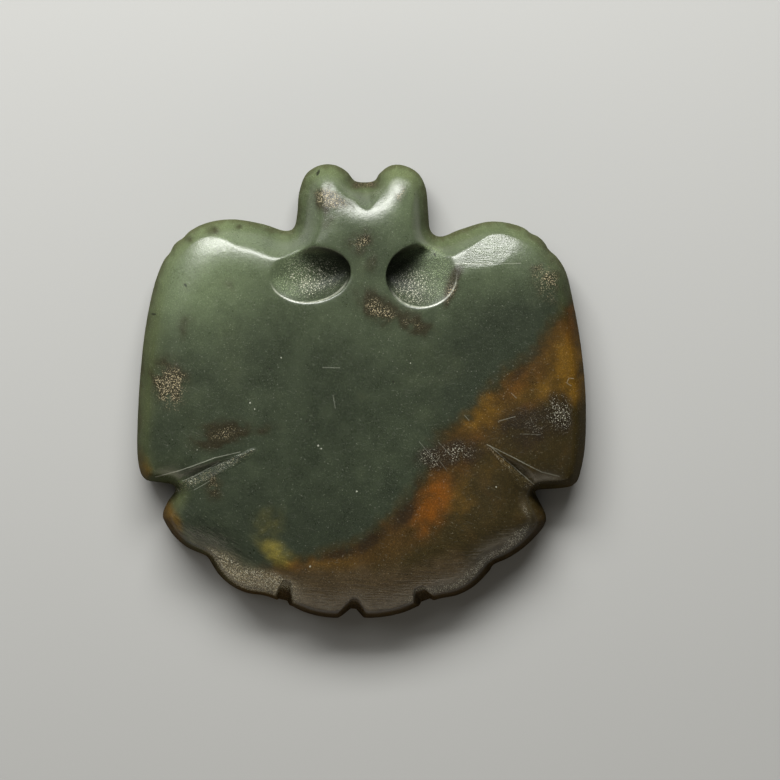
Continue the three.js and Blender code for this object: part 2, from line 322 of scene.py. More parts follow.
def tailMix(y, body, atTail):
    # from the body's value to the tail's, smoothly along y
    return body + (atTail - body) * smoothStep(*slab["tailFromTo"], y)


def rolledHeight(x, y, distance):
    # a domed face, less the squared droop of the head and a squared roll towards the edge
    dome = (slab["breastThickness"] - slab["sideFall"] * (x / slab["halfSpan"]) ** 2
            - slab["endFall"] * ((y - slab["domeCentreY"]) / slab["halfSpan"]) ** 2
            - slab["headFall"] * (np.clip(y - slab["headFrom"], 0, None) / slab["headLength"]) ** 2)
    roll = np.clip(1 - distance / tailMix(y, slab["rollWidth"], slab["tailRollWidth"]), 0, None)
    return dome - tailMix(y, slab["rollDrop"], slab["tailDrop"]) * roll * roll


def faceHeight(x, y, distance):
    # the rolled face, met by the saddles and by a steep wall that starts at the widest line as a
    # rounded lip
    slope = tailMix(y, slab["wallSlope"], slab["tailWall"])
    for wx, wy, reach, less in slab["easedWalls"]:
        slope = slope - less * smoothStep(reach, reach / 2, np.hypot(x - wx, y - wy))
    wall = widestLine(x, y) + np.sqrt((slope * distance) ** 2 + 2 * slab["wallEdgeRadius"] * distance)
    towardsTop = smoothStep(*slab["shoulders"], y)
    crest = tailMix(y, slab["sideCrest"] + (slab["topCrest"] - slab["sideCrest"]) * towardsTop,
                    slab["tailCrest"])
    height = smoothMin(rolledHeight(x, y, distance), wall, crest)
    for *cut, crest in saddles["list"]:
        height = smoothMin(height, saddleHeight(x, y, *cut), crest)
    return height


def backHeight(x, y, distance):
    # flat, with a quarter ellipse up to the widest line
    roll = np.clip(1 - distance / slab["backRollWidth"], 0, 1)
    return widestLine(x, y) * (1 - np.sqrt(1 - roll * roll))


def faceHeightAt(x, y):
    # the plain face's height at one point
    x, y = np.array([x], float), np.array([y], float)
    return faceHeight(x, y, softDistance(x, y))[0]


def grooveHeight(x, y, start, mouth, sink, wingWall, tailWall, wingSide):
    # a V whose bottom line starts on the face and sinks along its way, with a wall on each side
    along = np.subtract(mouth, start) / np.hypot(*np.subtract(mouth, start))
    across = np.array([-along[1], along[0]]) * wingSide
    forward = (x - start[0]) * along[0] + (y - start[1]) * along[1]
    side = (x - start[0]) * across[0] + (y - start[1]) * across[1]
    bottom = faceHeightAt(*start) - sink * forward
    return bottom + np.maximum(side * wingWall, -side * tailWall), forward, side


def facetHeight(x, y):
    # it falls towards +Y from its lower border, more and more, and rises with the square of the
    # way beyond its half width; lifted clear below the border
    up = y - facet["middle"][1]
    beyond = np.clip(np.abs(x - facet["middle"][0]) - facet["halfWidth"], 0, None)
    height = faceHeightAt(*facet["middle"]) - facet["slope"] * up - facet["bend"] * up * up
    return np.where(up > -facet["belowBorder"], height + facet["rise"] * beyond * beyond, wellAbove)


def lobeBevelHeight(x, y, distance):
    # from the rolled face at the crest it falls outwards at one slope; lifted clear elsewhere
    crest = rolledHeight(x, y, np.full(len(x), lobeBevel["crest"]))
    here = smoothStep(*lobeBevel["from"], x) * smoothStep(*lobeBevel["below"], y)
    return crest - lobeBevel["slope"] * (lobeBevel["crest"] - distance) + lobeBevel["lift"] * (1 - here)


def cutNotch(points, apex, foot, footHeight, spread, floor):
    # a leaning V: at each height every point beyond its walls is drawn back onto them along the
    # notch, and the return value tells how far
    outward = np.subtract(foot, apex)
    run = np.hypot(*outward)
    outward = outward / run
    across = np.array([-outward[1], outward[0]])
    apexHeight = faceHeightAt(*apex)
    forward = (points[:, 0] - apex[0]) * outward[0] + (points[:, 1] - apex[1]) * outward[1]
    side = (points[:, 0] - apex[0]) * across[0] + (points[:, 1] - apex[1]) * across[1]
    inner = (apexHeight - points[:, 2]) * run / (apexHeight - footHeight)
    limit = inner + np.clip(np.abs(side) - floor, 0, None) / spread
    near = (forward > -notches["behindApex"]) & (np.abs(side) < notches["toSide"])
    kept = np.where(near, smoothMin(forward, limit, notches["blend"]), forward)
    points[:, :2] += (kept - forward)[:, None] * outward
    return forward - kept


def eyeShare(x, y, eye):
    # how far out a point is in a turned ellipse: 0 at its centre and 1 on its rim
    cx, cy, halfWidth, halfHeight, turn, _ = eye
    along = (x - cx) * math.cos(turn) + (y - cy) * math.sin(turn)
    across = (y - cy) * math.cos(turn) - (x - cx) * math.sin(turn)
    return np.hypot(along / halfWidth, across / halfHeight)


def sinkEyes(points, cutAway):
    # a slanting bowl: inside each ellipse a point slides by depth (1 - share^2) down towards the
    # bridge, less by what is cut away there already, with the rim rounded over a short way; the
    # return values tell where it is hollow, and where it gets painted shade and painted light
    hollow, shade, lit = np.zeros((3, len(points)))
    for eye in eyes["hollows"]:
        cx, cy, halfWidth, halfHeight, _, towards = eye
        share = eyeShare(points[:, 0], points[:, 1], eye)
        depth = eyes["depth"] * (1 - share ** 2) - cutAway / math.cos(eyes["slant"])
        fillet = eyes["depth"] * eyes["rimFillet"] / halfHeight
        slide = (depth + np.sqrt(depth ** 2 + fillet ** 2)) / 2 * smoothStep(*eyes["slideFade"], share)
        inside = smoothStep(*eyes["lookFade"], share)
        hollow = np.maximum(hollow, inside)
        inwards = (points[:, 0] - cx) * towards / halfWidth
        upwards = (points[:, 1] - cy) / halfHeight
        # painted shade towards the bridge and the upper rim; painted light on the far and upper side
        dark = smoothStep(*eyes["shadeFade"], inwards + upwards * eyes["shadeUpwards"])
        shade = np.maximum(shade, inside * dark)
        light = smoothStep(*eyes["litAway"], np.maximum(upwards, -inwards))
        lit = np.maximum(lit, inside * light * smoothStep(*eyes["litInwards"], inwards))
        points[:, 0] += towards * slide * math.sin(eyes["slant"])
        points[:, 2] -= slide * math.cos(eyes["slant"])
    return hollow, shade, lit


def drawToRims(x, y):
    # pulls grid points towards each eye's rim, so that the rim is crisp
    for eye in eyes["hollows"]:
        share = eyeShare(x, y, eye)
        off = share - 1
        pulled = meshing["rimPull"] * np.clip(1 - np.abs(off) / meshing["rimReach"], 0, None)
        scale = (1 + off * (1 - pulled)) / np.maximum(share, meshing["leastShare"])
        x = eye[0] + (x - eye[0]) * scale
        y = eye[1] + (y - eye[1]) * scale
    return x, y


def ringScales(count):
    # scales from just inside 1 down to just above 0, closer together in the outer half
    t = np.arange(1, count + 1) / (count + 1)
    return 1 - t ** meshing["innerPower"]


# Jade: colours as seen on a screen, 0 to 255
jade = {
    "deep": (41, 47, 35), "pale": (86, 97, 72), "mossy": (74, 80, 50),
    "skin": (46, 38, 17), "rust": (64, 45, 17), "orange": (98, 57, 12), "ochre": (91, 66, 19),
    "yellow": (112, 102, 44), "dusk": (32, 24, 13), "tailBrown": (63, 52, 34), "rim": (72, 55, 27),
    # the satin colour is a painted sheen on the tail's left lobes, and the crest colour a painted
    # highlight along the crest of the right ones
    "satinSheen": (90, 81, 59), "crest": (84, 77, 62), "stain": (38, 33, 20), "worn": (30, 23, 13),
    # silver is partly painted glints; the mark colour serves light scratches and painted highlights; the
    # pit colour serves dark pits and the painted shade in the eye hollows
    "sand": (168, 156, 126), "silver": (190, 188, 170), "markAndHighlight": (172, 174, 160), "pitAndShade": (24, 24, 18),
}

# Upper left border of the brown skin, from the right wing to the tail: x, y
skinBorder = [(31, 16), (26.4, 11.8), (24.1, 9.2), (22.4, 6.4), (19.2, 4.1), (16.0, 1.2),
              (13.6, -2.2), (9.9, -4.9), (8.2, -9.5), (4.9, -14.0), (-0.2, -18.4), (-5.5, -20.3),
              (-10.4, -21.3), (-16, -24.5), (-22, -30)]

# Where the stone changes colour and where earth has stayed: x, y, reach, reach, turn, strength
stone = {
    # glow is a painted sheen on the upper left wing; the dim spots lower the paleness, which is partly
    # painted light
    "glow": [(-20, 15.5, 7.0, 6.5, 0, 0.5)],
    "dim": [(0.8, 19.2, 7.5, 5.5, 0, 0.42), (22.0, 12.0, 6.0, 4.0, 0, 0.15),
            (-14.0, 8.0, 4.0, 4.0, 0, 0.1), (0.0, 25.0, 4.0, 2.6, 0, 0.3)],
    "orange": [(9.0, -13.8, 2.4, 4.7, -24, 0.92), (21.6, -1.2, 2.2, 1.0, 20, 0.4),
               (13.0, -8.8, 2.0, 1.2, 30, 0.4), (20.5, 1.6, 5.5, 1.6, 30, 0.34),
               (27.0, 8.6, 1.7, 4.6, 5, 0.35), (-8.9, -21.9, 1.6, 0.9, -30, 0.6),
               (-25.4, -15.6, 1.3, 2.6, 14, 0.7), (14.6, -5.2, 3.6, 1.3, 40, 0.34)],
    "ochre": [(-24.9, -17.0, 1.9, 3.8, 14, 1.3), (26.9, 3.1, 3.0, 4.4, 10, 1.15),
              (22.5, 0.6, 4.0, 2.2, 25, 0.55), (-28.2, -9.4, 1.5, 2.8, 5, 0.9),
              (15.5, -2.4, 3.4, 2.2, 40, 0.85), (17.5, -8.5, 3.4, 2.6, 30, 0.35),
              (-4.0, -22.0, 4.4, 1.2, 4, 0.6), (4.5, -20.0, 4.5, 1.6, 25, 0.15),
              (12.6, -13.0, 2.6, 3.4, -20, 0.45)],
    "yellow": [(-10.9, -20.2, 3.2, 1.5, -40, 0.68), (-12.0, -16.8, 2.8, 3.8, -20, 0.3)],
    "dusk": [(5.8, -14.9, 3.0, 1.2, 50, 0.9), (1.4, -18.5, 2.8, 1.1, 38, 0.9),
             (-2.6, -20.3, 3.0, 0.8, 14, 0.8), (21.6, -5.6, 5.2, 2.6, 22, 0.55),
             (7.2, -11.4, 0.8, 2.6, -20, 0.6), (22.0, 5.6, 2.6, 1.2, 45, 0.45),
             (20.0, 2.9, 2.2, 0.9, 45, 0.5), (17.0, -12.5, 3.0, 2.0, 20, 0.3),
             (-22.5, -13.2, 2.6, 1.2, 30, 0.4)],
    "earth": [(-24.7, 1.8, 2.4, 2.9, 0, 1.1), (-17.9, -5.0, 3.6, 1.7, 12, 1.1),
              (-13.6, -4.2, 3.0, 1.3, 8, 0.5), (-18.9, -11.4, 1.7, 2.4, 0, 0.6),
              (2.2, 11.3, 3.4, 1.8, -34, 1.0), (6.4, 9.5, 3.0, 1.5, -24, 0.9),
              (-0.1, 19.7, 2.1, 1.8, 10, 0.75), (-4.2, 25.1, 2.8, 1.7, -22, 1.0),
              (-4.6, 22.7, 1.6, 1.6, 0, 0.5), (5.0, 25.9, 0.9, 1.3, 0, 0.55),
              (23.8, 14.9, 2.3, 3.5, 20, 0.6), (11.7, 14.4, 0.7, 2.6, -18, 1.2),
              (1.3, 16.9, 1.1, 1.6, 0, 0.5), (0.5, 26.75, 1.9, 0.6, 0, 1.0),
              (-5.0, -22.3, 1.2, 0.6, -20, 0.35), (-22.5, 8.8, 1.4, 2.6, -20, 0.4),
              (-16.9, 13.9, 1.4, 1.7, 0, 0.35), (-19.0, 21.0, 1.0, 0.7, 0, 0.7),
              (-15.7, 21.4, 0.5, 0.4, 0, 0.7), (-22.0, 19.8, 0.8, 0.7, 0, 0.5)],
    # light grains of sand that stick in the earth
    "sand": [(-24.5, 1.2, 2.5, 3.1, 0, 0.56), (2.4, 11.0, 3.2, 1.3, -34, 0.42),
             (6.6, 9.4, 2.4, 1.1, -24, 0.3), (-17.4, -4.8, 2.8, 1.2, 12, 0.34),
             (-0.1, 19.7, 1.6, 1.4, 10, 0.4), (-4.0, 25.2, 2.4, 1.3, -22, 0.6),
             (5.0, 25.9, 0.9, 1.3, 0, 0.4), (23.7, 14.7, 2.0, 3.4, 20, 0.45),
             (-18.9, -11.4, 1.5, 2.1, 0, 0.3), (0.5, 26.75, 1.9, 0.6, 0, 0.4),
             (11.5, 13.4, 0.9, 2.2, -24, 0.35)],
    # worn patches without polish, dark with silvery grains
    "worn": [(21.6, -3.2, 4.2, 2.4, 14, 0.9), (25.4, -2.2, 1.7, 2.9, 5, 1.0),
             (11.2, -7.4, 4.8, 2.0, 8, 1.0)],
    # where silvery grains stand, partly painted glints: about the worn patches, and in the eye hollows
    "silver": [(25.4, -2.2, 2.2, 3.2, 5, 0.5), (12.3, -7.2, 3.2, 2.0, 8, 0.4),
               (8.8, -7.9, 2.8, 2.3, 8, 0.36), (22.6, -3.6, 2.6, 1.7, 10, 0.34)],
    "glitter": [(-6.2, 15.4, 4.0, 2.8, 8, 0.5), (6.8, 13.9, 3.2, 2.4, 0, 0.5)],
}


def softSpots(x, y, spots):
    # the strongest of several turned bell shapes
    highest = np.zeros(len(x))
    for sx, sy, reachX, reachY, turn, strength in spots:
        turn = math.radians(turn)
        along = (x - sx) * math.cos(turn) + (y - sy) * math.sin(turn)
        across = (y - sy) * math.cos(turn) - (x - sx) * math.sin(turn)
        bell = strength * np.exp(-(along / reachX) ** 2 - (across / reachY) ** 2)
        highest = np.maximum(highest, bell)
    return highest


def skinDepth(x, y):
    # distance from the border line of the brown skin, positive below and to the right of it
    corners = np.array(skinBorder, float)
    nearest = np.full(len(x), np.inf)
    depth = np.zeros(len(x))
    for a, b in zip(corners[:-1], corners[1:]):
        run = b - a
        t = np.clip(((x - a[0]) * run[0] + (y - a[1]) * run[1]) / (run @ run), 0, 1)
        dx, dy = x - a[0] - run[0] * t, y - a[1] - run[1] * t
        far = np.hypot(dx, dy)
        side = np.sign(run[0] * (y - a[1]) - run[1] * (x - a[0]))
        depth = np.where(far < nearest, far * side, depth)
        nearest = np.minimum(far, nearest)
    return depth


# Patches over the stone, from large to small: per millimetre, octaves, seed
patches = {"clouds": (0.12, 3, 1), "mottles": (0.5, 3, 2), "ragged": (1.1, 2, 3)}
latticeSize = 128
latticeShift = 50                     # keeps the stone on the lattice's positive side
patchHeight = 0.55

# How much clouds, mottles and ragged patches shift each change
unevenness = {
    "pale": (0.14, 0.16, 0), "mossy": (0.4, 0, 0), "border": (1.2, 0, 1.6), "golden": (0, 0.5, 0.4),
    "ochre": (0, 1, 0.9), "orange": (0, 0.6, 0.9), "dusk": (0, 1, 1), "yellow": (0, 0, 1),
    "middle": (0, 0.4, 0), "satinSheen": (0, 1, 0), "edge": (0, 0, 1.1), "rim": (0, 0, 1.2),
    "depth": (0, 0.2, 0.2), "earth": (0, 0, 2.2), "worn": (0, 0, 1.6), "sand": (0, 0, 1.3),
    "silver": (0, 0, 0.9), "band": (0, 0, 1.8), "dull": (0.06, 0.06, 0),
}

# Changes along x, y, an inset, a depth or a spot's strength: where they start and end, how strong
changes = {
    # green stone, paler towards the ears and on the left wing, darker below the right shoulder and
    # towards the tail: partly the stone's own tone, partly painted light falling from the ears' side
    "paleToEars": (1, 28, 0.78), "paleToLeft": (-12, -29, 0.3), "paleUpwards": (2, 13, 1),
    "dimToRight": (4, 20, 0.3), "dimDownwards": (17, 8, 1), "dimToTail": (-8, -18, 0.1),
    "mossyEdge": (3.4, 0.5, 0.3), "mossy": (0.36, 0.74, 0.6),
    # brown skin
    "skin": (-1.2, 1.2, 1), "goldenFrom": (0.2, 1.6, 0.75), "goldenTo": (7.0, 2.2, 1),
    "ochre": (0.1, 1.0, 1), "orange": (0.1, 1.0, 1), "dusk": (0.1, 0.9, 0.85),
    "orangeOutside": (0.3, 1.0, 0.85), "ochreOutside": (0.3, 1.0, 0.7),
    # tail: a painted sheen on the left lobes, a painted highlight along the right lobes' crest, painted
    # shade along the rim
    "tail": (-13, -18, 1), "left": (-6, -11, 1), "tailEdge": (9, 4, 1), "satinEdge": (9, 3, 1),
    "satinFrom": (0.6, 1.2, 1), "satinWidens": (-22, -13, 2.6), "satinStarts": (-23, -19, 0.85),
    "dimCorner": (-22.5, -25, 0.25), "middleRises": (4, 12, 1.5), "middleBelow": (-20, -25, 1),
    "middleLeft": (-13, -7, 1), "middleRight": (18, 11, 1), "tailBrown": (0.05, 0.85, 1),
    "yellow": (0.1, 1.0, 1), "crestFrom": (1.1, 1.8, 1), "crestTo": (2.9, 2.0, 1),
    "lobesFrom": (3, 9, 1), "lobesTo": (22.5, 20, 1), "lobesBelow": (-12, -16, 1),
    "brownEdge": (0.75, 0.1, 0.45), "rim": (1.6, 0.4, 1), "shadedRim": (1.7, 0.2, 1),
    # worn and earthy places
    "earth": (0.1, 0.8, 1), "worn": (0.15, 0.75, 1), "sand": (0.1, 0.7, 1), "silver": (0.1, 0.8, 1),
    "ears": (9, 19, 1), "wingsBelow": (18, 12, 1), "wingsAbove": (-16, -11, 1),
    "bevelEdge": (2.2, 1.2, 1),
}

# Other values of the mixing
mixes = {
    "paleFrom": 0.1, "mossyFrom": 0.34,
    # depths in the skin beyond which nothing changes
    "skinReach": (-8, 12),
    # painted satin sheen of the left lobes: width and fade in millimetres, and its least strength
    "satinWidth": 2.6, "satinFade": 2.4, "satinLeast": 0.15,
    # how dark the painted shade on the tail's rim is, and how much less so on the left
    "rimShade": 0.6, "rimLessShade": 0.25,
    # matt edge: start and end, each with what the sides of the wings add
    "mattFrom": (1.7, 0.5), "mattTo": (0.9, 0.3),
    # how much painted shade darkens the hollows, how much the cuts darken the stone, and how much
    # painted light the lit side of a hollow gets
    "hollowShade": 0.42, "litLight": 0.8, "grooveDark": 0.3, "bandDark": 0.5,
}

# How much of its colour each of these lays over the stone: the satin one is a painted sheen, the crest
# one a painted highlight, the pit one painted shade, the rest the stone's own
cover = {"satinSheen": 0.9, "crest": 0.7, "rim": 0.6, "stain": 0.86, "worn": 0.8, "pitAndShade": 0.8}

# What each place adds to a finish
addedShares = {
    "dull": {"earth": 0.06, "worn": 0.04, "hollow": 0.14, "rough": 0.14, "satinSheen": 0.1, "crest": 0.08},
    "crumbling": {"hollow": 0.05, "rough": 0.08, "worn": 0.03, "earth": 0.02, "satinSheen": 0.02,
                  "crest": 0.02, "ears": 0.012, "facet": 0.015},
    "brushed": {"rightTail": 0.045, "facet": 0.04, "everywhere": 0.001},
    "satinSheen": {"leftTail": 0.06},
    # sparkling: more silvery grains, partly painted glints
    "sparkling": {"notch": 0.25, "hollow": 0.1, "satinSheen": 0.85, "crest": 0.85, "band": 0.24},
}

# What each place gives a finish, of which the strongest one counts
strongestShares = {
    "rough": {"groove": 0.4, "notch": 1, "band": 1},
    "sandy": {"satinSheen": 0.6, "band": 0.25},
    "grit": {"satinSheen": 0.6, "crest": 0.6, "hollow": 0.5, "rough": 0.6, "worn": 0.2, "middle": 0.2,
             "skin": 0.1},
    "wall": {"mattEdge": 0.9, "earth": 0.45, "mattBevel": 0.6, "hollow": 0.4, "rough": 0.4,
             "band": 0.75},
}


def patchNoise(x, y, perMillimetre, octaves, seed):
    # value noise about 0: seeded lattice values joined by smooth steps, each octave twice as fine
    # and half as strong
    size = latticeSize
    table = np.random.default_rng(seed).random((size, size)) - 0.5
    total = np.zeros(len(x))
    for octave in range(octaves):
        scale = perMillimetre * 2 ** octave
        u, v = x * scale + latticeShift, y * scale + latticeShift
        iu, iv = np.floor(u).astype(int), np.floor(v).astype(int)
        fu, fv = smoothStep(0, 1, u - iu), smoothStep(0, 1, v - iv)
        here, there = iu % size, (iu + 1) % size
        low = table[here, iv % size] * (1 - fu) + table[there, iv % size] * fu
        high = table[here, (iv + 1) % size] * (1 - fu) + table[there, (iv + 1) % size] * fu
        total += (low * (1 - fv) + high * fv) * 0.5 ** octave
    return total * patchHeight


def seen(red, green, blue):
    # a colour as the eye sees it on a screen, 0 to 255, made linear
    return np.array([((v / 255 + 0.055) / 1.055) ** 2.4 for v in (red, green, blue)])


def blended(share, a, b):
    # colour a where the share is 0, colour b where it is 1
    return a + (b - a) * np.clip(share, 0, 1)[:, None]


def change(name, value):
    # 0 at its start, its strength at its end, and a smooth step between
    start, end, strength = changes[name]
    return smoothStep(start, end, value) * strength


def addedUp(finish, places):
    # the sum of the places, each times its share in the finish
    return sum(places[name] * share for name, share in addedShares[finish].items())


def strongestOf(finish, places):
    # the largest of the places, each times its share in the finish
    shares = strongestShares[finish]
    return np.maximum.reduce([places[name] * share for name, share in shares.items()])


def greenStone(x, y, edge, spots, uneven, colour):
    # from deep to pale green by place, a painted sheen (glow), dimness and clouds, and mossy along the
    # edge; the paleness towards the ears and the upper left is partly the stone's own tone, partly
    # painted light
    pale = (change("paleToEars", y) + spots["glow"] - spots["dim"] + mixes["paleFrom"]
            + change("paleToLeft", x) * change("paleUpwards", y)
            - change("dimToRight", x) * change("dimDownwards", y) - change("dimToTail", y))
    tone = blended(pale + uneven["pale"], colour["deep"], colour["pale"])
    mossy = change("mossyEdge", edge) + mixes["mossyFrom"] + uneven["mossy"]
    return blended(change("mossy", mossy), tone, colour["mossy"])


def brownSkin(x, y, tone, spots, uneven, colour):
    # golden at its border and olive brown inside, with ochre, orange and dark places, some of
    # which reach out over the green; the second value tells where the skin is
    way = np.clip(skinDepth(x, y), *mixes["skinReach"]) + uneven["border"]
    inside = change("skin", way)
    golden = change("goldenFrom", way) * change("goldenTo", way) + uneven["golden"]
    brown = blended(golden, colour["skin"], colour["rust"])
    ochre = spots["ochre"] * (1 + uneven["ochre"])
    orange = spots["orange"] * (1 + uneven["orange"])
    dusk = spots["dusk"] * (1 + uneven["dusk"])
    brown = blended(change("ochre", ochre), brown, colour["ochre"])
    brown = blended(change("orange", orange), brown, colour["orange"])
    brown = blended(change("dusk", dusk), brown, colour["dusk"])
    tone = blended(inside, tone, brown)
    tone = blended(change("orangeOutside", orange) * (1 - inside), tone, colour["orange"])
    return blended(change("ochreOutside", ochre) * (1 - inside), tone, colour["ochre"]), inside


def tailEdge(x, y, edge, front, tone, spots, uneven, colour):
    # the ground edge: a painted satin sheen on the left lobes, brown in the middle, a painted
    # highlight along the crest of the right ones, and an ochre rim under painted shade; the second
    # value holds the masks of these places
    onTail, left = change("tail", y), change("left", x)
    inner = mixes["satinWidth"] + change("satinWidens", x)
    satinSheen = change("satinFrom", edge) * onTail * left
    satinSheen = satinSheen * smoothStep(inner, inner - mixes["satinFade"], edge + uneven["satinSheen"])
    satinSheen = satinSheen * (mixes["satinLeast"] + change("satinStarts", x))
    tone = tone * (1 - change("dimCorner", x) * onTail)[:, None]
    middle = (change("middleBelow", y - change("middleRises", x)) * change("middleLeft", x)
              * change("middleRight", x))
    tone = blended(change("tailBrown", middle + uneven["middle"]), tone, colour["tailBrown"])
    yellow = spots["yellow"] * (1 + uneven["yellow"])
    tone = blended(change("yellow", yellow) * front, tone, colour["yellow"])
    # painted sheen on the left lobes, then a painted highlight along the crest of the right lobes
    tone = blended(satinSheen * cover["satinSheen"], tone, colour["satinSheen"])
    crest = (change("crestFrom", edge) * change("crestTo", edge + uneven["satinSheen"])
             * change("lobesFrom", x) * change("lobesTo", x) * change("lobesBelow", y))
    tone = blended(crest * cover["crest"], tone, colour["crest"])
    tone = blended(change("brownEdge", edge + uneven["edge"]), tone, colour["skin"])
    rim = change("rim", edge + uneven["rim"]) * onTail
    tone = blended(rim * cover["rim"], tone, colour["rim"])
    # painted shade along the tail's rim
    dark = mixes["rimShade"] - mixes["rimLessShade"] * left
    tone = tone * (1 - change("shadedRim", edge) * onTail * dark)[:, None]
    return tone * (1 + uneven["depth"])[:, None], {
        "satinSheen": satinSheen, "crest": crest, "middle": middle,
        "rightTail": change("tailEdge", edge) * onTail * (1 - left),
        "leftTail": change("satinEdge", edge) * onTail * left,
    }


def stoneLook(x, y, front, masks):
    # the colour of the stone, with its painted sheen, highlights, light and shade, and how much
    # sand, silver, dullness, crumbling, grit and tool lines it has; wall tells how matt it is
    colour = {name: seen(*value) for name, value in jade.items()}
    spots = {name: softSpots(x, y, places) for name, places in stone.items()}
    noises = [patchNoise(x, y, *values) for values in patches.values()]
    uneven = {name: sum(noise * share for noise, share in zip(noises, shares) if share)
              for name, shares in unevenness.items()}
    edge = masks["edge"]
    tone = greenStone(x, y, edge, spots, uneven, colour)
    tone, inside = brownSkin(x, y, tone, spots, uneven, colour)
    tone, tailPlaces = tailEdge(x, y, edge, front, tone, spots, uneven, colour)

    # earth in the pores, worn patches, the eye hollows with their painted shade and painted light, and
    # the darker cuts
    places = {**masks, **tailPlaces, "skin": inside * front, "ears": change("ears", y),
              "everywhere": np.ones(len(x))}
    places["rough"] = strongestOf("rough", places)
    places["earth"] = change("earth", spots["earth"] * (1 + uneven["earth"])) * front
    places["worn"] = change("worn", spots["worn"] * (1 + uneven["worn"])) * front
    tone = blended(places["earth"] * cover["stain"], tone, colour["stain"])
    tone = blended(places["worn"] * cover["worn"], tone, colour["worn"])
    # a hollow is darker by painted shade, lighter by painted light on its far and upper side, and takes
    # the dark pit colour as painted shade under the bridge and the upper rim
    hollowLight = 1 - masks["hollow"] * mixes["hollowShade"] + masks["lit"] * mixes["litLight"]
    tone = blended(masks["shade"] * cover["pitAndShade"], tone * hollowLight[:, None], colour["pitAndShade"])
    cutDark = np.maximum(masks["groove"] * mixes["grooveDark"], masks["band"] * mixes["bandDark"])
    tone = tone * (1 - cutDark)[:, None]

    # matt edge, wider along the sides of the wings
    wings = change("wingsBelow", y) * change("wingsAbove", y)
    start, end = (width + more * wings for width, more in (mixes["mattFrom"], mixes["mattTo"]))
    places["mattEdge"] = smoothStep(start, end, edge)
    places["mattBevel"] = masks["bevel"] * change("bevelEdge", edge)

    sandy = change("sand", spots["sand"] * (1 + uneven["sand"])) * front
    sparkling = (spots["silver"] * front + spots["glitter"] * masks["hollow"]) * (1 + uneven["silver"])
    sparkling = sparkling + masks["band"] * uneven["band"] + addedUp("sparkling", places)
    return {
        "tone": tone,
        "front": front.astype(float),
        "sand": np.maximum(sandy, strongestOf("sandy", places)),
        "silver": change("silver", sparkling),
        "dull": addedUp("dull", places) + uneven["dull"],
        "crumbling": addedUp("crumbling", places),
        "grit": strongestOf("grit", places),
        "brushed": addedUp("brushed", places),
        "satinSheen": addedUp("satinSheen", places),
        "scored": np.maximum(masks["groove"], masks["band"]) * np.sign(x),
        "wall": strongestOf("wall", places),
    }


def layRings():
    # rings that follow the outline inwards, at insets insetDepth t^insetPower: near the outline
    # along its normals, and then along the inward pull
    m = meshing
    rim = spreadAround(splinePoints(knots, m["rimSteps"]), m["around"])
    inward = inwardNormals(rim)
    for x, y, depth, width in outline["chips"]:
        near = np.exp(-((rim[:, 0] - x) ** 2 + (rim[:, 1] - y) ** 2) / width ** 2)
        rim = rim + inward * (depth * near)[:, None]
    t = np.arange(m["insetRings"] + 1) / m["insetRings"]
    insets = m["insetDepth"] * t ** m["insetPower"]
    rings = [rim]
    for before, inset in zip(insets[:-1], insets[1:]):
        here = rings[-1]
        way = inward if inset < m["straightInset"] else inwardPull(here[:, 0], here[:, 1])
        rings.append(here + way * (inset - before))
    print("plaque: rings laid out")
    return np.array(rings), insets


def carvedFace(x, y, distance):
    # the plain face, cut by the grooves, the shoulder's facet and the lobes' bevel; a mask of each
    # cut is 1 where it has taken stone away, and the band lies along the grooves' bottom lines
    g = grooves
    plain = faceHeight(x, y, distance)
    face = plain
    grooveMask, bandMask = np.zeros((2, len(face)))
    for groove in g["list"]:
        cut, forward, side = grooveHeight(x, y, *groove)
        cut = np.where(forward > -g["behindStart"], cut, wellAbove)
        face = smoothMin(face, cut, g["blend"])
        grooveMask = np.maximum(grooveMask, smoothStep(*g["maskDepth"], plain - cut))
        half = g["bandHalf"] + g["bandGrowth"] * forward
        band = smoothStep(half, half * g["bandCore"], np.abs(side + half * g["bandShift"]))
        band = band * smoothStep(*g["bandFrom"], forward) * g["bandStrength"][groove[-1]]
        bandMask = np.maximum(bandMask, band)
    ground = facetHeight(x, y)
    bevel = lobeBevelHeight(x, y, distance)
    face = smoothMin(face, ground, facet["blend"])
    face = smoothMin(face, bevel, lobeBevel["blend"])
    print("plaque: face worked out")
    return plain, face, {
        "groove": grooveMask, "band": bandMask,
        "facet": smoothStep(*facet["maskDepth"], plain - ground),
        "bevel": smoothStep(*lobeBevel["maskDepth"], plain - bevel),
    }


